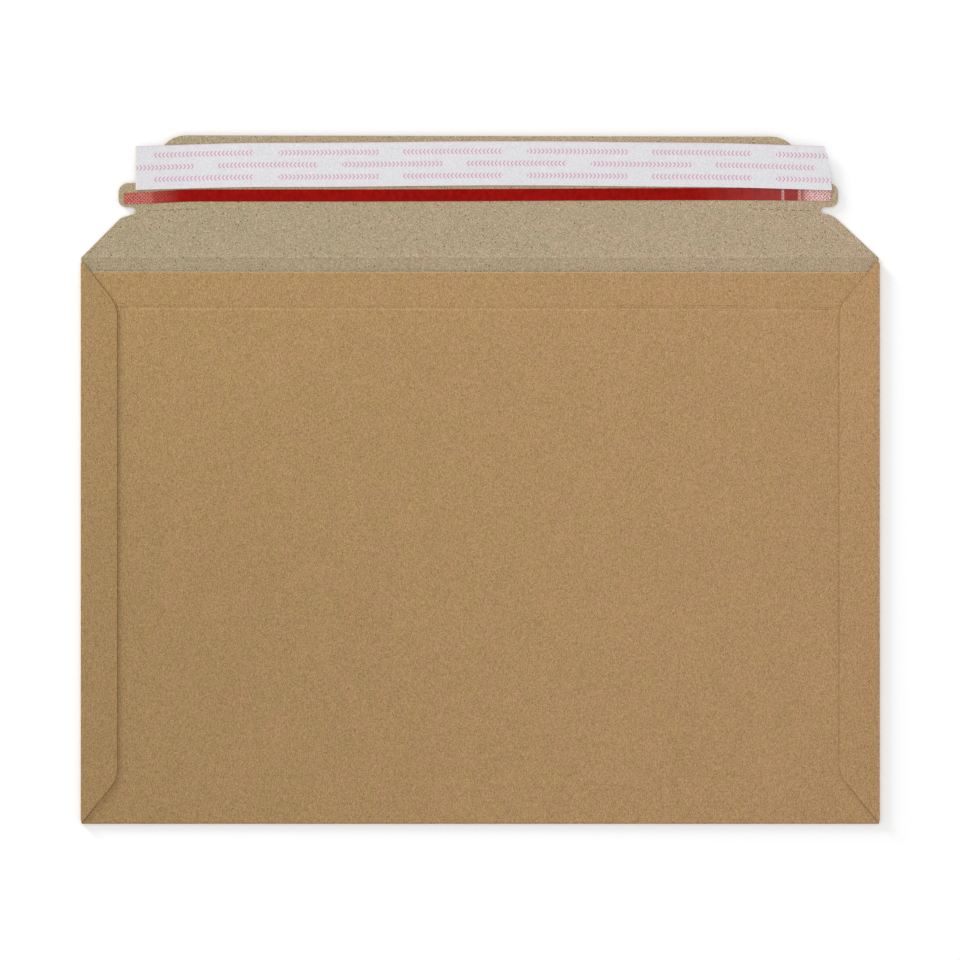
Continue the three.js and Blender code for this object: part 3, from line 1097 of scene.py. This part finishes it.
def tape_film():
    """Deep red film that turns pink and hatched at both ends."""
    finish = Finish("red_tear_film", roughness=0.3, specular=0.06)
    mottle = finish.noise((0.5, 0.35, 0.2), detail=4, roughness=0.6)
    red = finish.mottled(mottle, film_deep, film_bright)
    hatch = hatching(finish)
    tip = finish.remap(finish.across, tape_left + 11, tape_left + 14, 0.55, 0.0, smoothly=True)
    fade = finish.remap(finish.across, tape_left + 14, tape_left + 27, 0.33, 0.0, smoothly=True)
    colour = finish.mixed(finish.product(hatch, finish.math("ADD", tip, fade)), red, left_pink)
    pale = finish.remap(finish.across, tape_right - 60, tape_right - 21, 0.0, film_haze)
    for place in scratches:
        scratch = finish.remap(finish.distance(finish.across, place), 0.2, 0.9, 0.7, 0.0)
        pale = finish.math("ADD", pale, finish.product(scratch, hatch))
    tip = finish.remap(finish.across, tape_right - 14.5, tape_right - 8.5, 0.0, 1.1, smoothly=True)
    pale = finish.math("ADD", pale, finish.product(hatch, tip))
    finish.set_colour(finish.mixed(pale, colour, right_pink))
    finish.set_bump(mottle, 0.01)
    return finish.material


tape = film(
    "tear_tape_film", tape_ends, tape_middle, tape_width, tape_lift, tape_steps, tape_film()
)
stick_on_flap(tape, "tear_tape")

# %% [markdown]
# ## The release liner
#
# Smooth coated paper over the adhesive. It is a little longer than the closing part of the flap,
# so both its ends stand free. Its middle runs level, its ends lie about two millimetres lower,
# and the right one is cut aslant.

# %% The release liner
liner_left = -151.8
liner_right = 155.0
liner_skew = 2.4
liner_corner_skew = 1.05
liner_level = 139.46
liner_falls = ((-1, -10, 90, 0.67), (-1, 90, 90, 1.87), (1, 20, 80, 0.64), (1, 90, 90, 1.95))
liner_width = 19.46
liner_narrowings = ((-1, 90, 60, 0.2), (1, 90, 60, 0.2))
liner_gap = 0.18
liner_wave = 0.02
left_end_lift = 0.14
right_end_lift = 0.1
corner_lift = 0.12
liner_steps = (150, 14)


def liner_ends(t):
    """The right end is slanted, and curves in towards its upper corner."""
    return liner_left, liner_right - liner_skew * t - liner_corner_skew * smooth((t - 0.7) / 0.3)


def liner_lift(u, t):
    """The free ends stand off the board a little, most at the lower right-hand corner."""
    left_end = smooth((-u - 128) / 24)
    right_end = smooth((u - 122) / 32)
    wave = liner_wave * np.sin(u * 0.11 + 1) * np.sin(3 * t)
    free = left_end_lift * left_end + right_end_lift * right_end
    return liner_gap + wave + free + corner_lift * right_end * (1 - t) ** 3


print("liner of", round(liner_right - liner_left, 1), "by", liner_width, "mm")

# %% [markdown]
# The liner carries pale pink print: plain arrowheads in three staggered rows, which show where
# to peel. They could be modelled one by one, but ink has no height, so the print is worked out
# from the flat coordinates: which row a place lies in, which group of that row, and how far into
# a mark it is. The rows follow the strip's own line.

# %% The liner's paper and print
paper_white = linear(224, 223, 226)
ink_pink = linear(214, 148, 178)
top_edge_pink = linear(226, 150, 170)
# A painted highlight along the liner's left end.
left_edge_painted_highlight = linear(238, 233, 216)
paper_grain = 0.7
cockle_swing = 0.05
cockle_height = 0.06
print_pitch = 54.8
print_length = 44.1
print_first_u = -143.7
print_row_pitch = 5.33
print_row_shift = 28.1
mark_height = 2.3
mark_pitch = 1.75
mark_slant = 0.75
mark_stroke = 0.66


def height_on_liner(finish):
    """How far a place lies above the middle line of the strip."""
    height = finish.math("SUBTRACT", finish.along, liner_level)
    for side, start, reach, depth in liner_falls:
        outwards = finish.product(finish.across, side)
        fall = finish.remap(outwards, start, start + reach, 0.0, depth, smoothly=True)
        height = finish.math("ADD", height, fall)
    return height


def printed_marks(finish, height):
    """1 on a mark. The middle row is shifted, and every second group points the other way."""
    row = finish.math("ROUND", finish.math("DIVIDE", height, print_row_pitch))
    from_middle = finish.distance(height, finish.product(row, print_row_pitch))
    is_middle_row = finish.math("COMPARE", row, 0.0, 0.5)
    start = finish.math("MULTIPLY_ADD", is_middle_row, -print_row_shift, finish.across)
    start = finish.math("SUBTRACT", start, print_first_u)
    group = finish.math("FLOOR", finish.math("DIVIDE", start, print_pitch))
    inside = finish.math("FLOORED_MODULO", start, print_pitch)
    facing = finish.math("MULTIPLY_ADD", finish.math("FLOORED_MODULO", group, 2.0), 2.0, -1.0)
    slanted = finish.math("MULTIPLY_ADD", finish.product(from_middle, facing), mark_slant, inside)
    return finish.product(
        finish.math("LESS_THAN", finish.math("FLOORED_MODULO", slanted, mark_pitch), mark_stroke),
        finish.math("LESS_THAN", from_middle, mark_height / 2),
        finish.math("LESS_THAN", inside, print_length),
        finish.math("LESS_THAN", finish.math("ABSOLUTE", row), 1.5),
    )


def liner_paper():
    """White coated paper with faint cockles, pink marks, a thin line of ink on its top edge and a
    painted highlight along its left end.
    """
    finish = Finish("silicone_liner_paper", roughness=0.5, specular=0.25)
    cockle = finish.noise((0.08, 0.12, 0.1), detail=3)
    grain = finish.noise((2.6, 2.6, 1.0), detail=2, roughness=0.6)
    light = finish.math("ADD", finish.swing(grain, paper_grain, 1), finish.swing(cockle, cockle_swing))
    light = finish.toned(light, finish.across, liner_left, liner_left + 30, 0.965, 1.0)
    height = height_on_liner(finish)
    ink = finish.toned(printed_marks(finish, height), grain, 0.3, 0.6, 0.55, 1.0)
    colour = finish.mixed(ink, paper_white, ink_pink)
    top = liner_width / 2
    at_top = finish.remap(height, top - 0.55, top - 0.3, 0.0, 0.35)
    colour = finish.mixed(at_top, colour, top_edge_pink)
    # A painted highlight along the liner's left end.
    left_highlight = finish.remap(finish.across, liner_left + 0.3, liner_left + 0.7, 0.8, 0.0)
    colour = finish.mixed(left_highlight, colour, left_edge_painted_highlight)
    finish.set_colour(finish.dimmed(colour, light))
    finish.set_bump(cockle, cockle_height)
    return finish.material


liner = film(
    "release_liner_paper", liner_ends, (liner_level, liner_falls), (liner_width, liner_narrowings),
    liner_lift, liner_steps, liner_paper(),
)
stick_on_flap(liner, "release_liner")

# %% [markdown]
# ## Glue and adhesive
#
# Two thin films of glue hold the side tabs, and a stripe of sticky gum lies under the liner. The
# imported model's own solids have the right shape and only get a finish. They have no place on the
# flat sheet, so their noise uses the object's coordinates.

# %% Glue and adhesive
gum_blobs = (400, 400, 400)
flow_height = 0.05


def gum(name, low_colour, high_colour, roughness):
    """Milky glue that has flowed unevenly. Its place is in metres."""
    finish = Finish(name, roughness=roughness, specular=0.5)
    finish.place = finish.add("ShaderNodeTexCoord").outputs["Object"]
    flow = finish.noise(gum_blobs, detail=3)
    finish.set_colour(finish.mottled(flow, low_colour, high_colour))
    finish.set_bump(flow, flow_height)
    return finish.material


sticky_gum = gum("pressure_sensitive_gum", linear(214, 204, 170), linear(226, 218, 190), 0.35)
dried_glue = gum("dried_glue", linear(214, 206, 186), linear(230, 224, 208), 0.6)
finishes = {"adhesive_strip": sticky_gum, "side_glue_left": dried_glue, "side_glue_right": dried_glue}
for node, material in finishes.items():
    part = frame["nodes"][node]
    part.data.materials.clear()
    part.data.materials.append(material)
print("finishes:", sorted(bpy.data.materials.keys()))
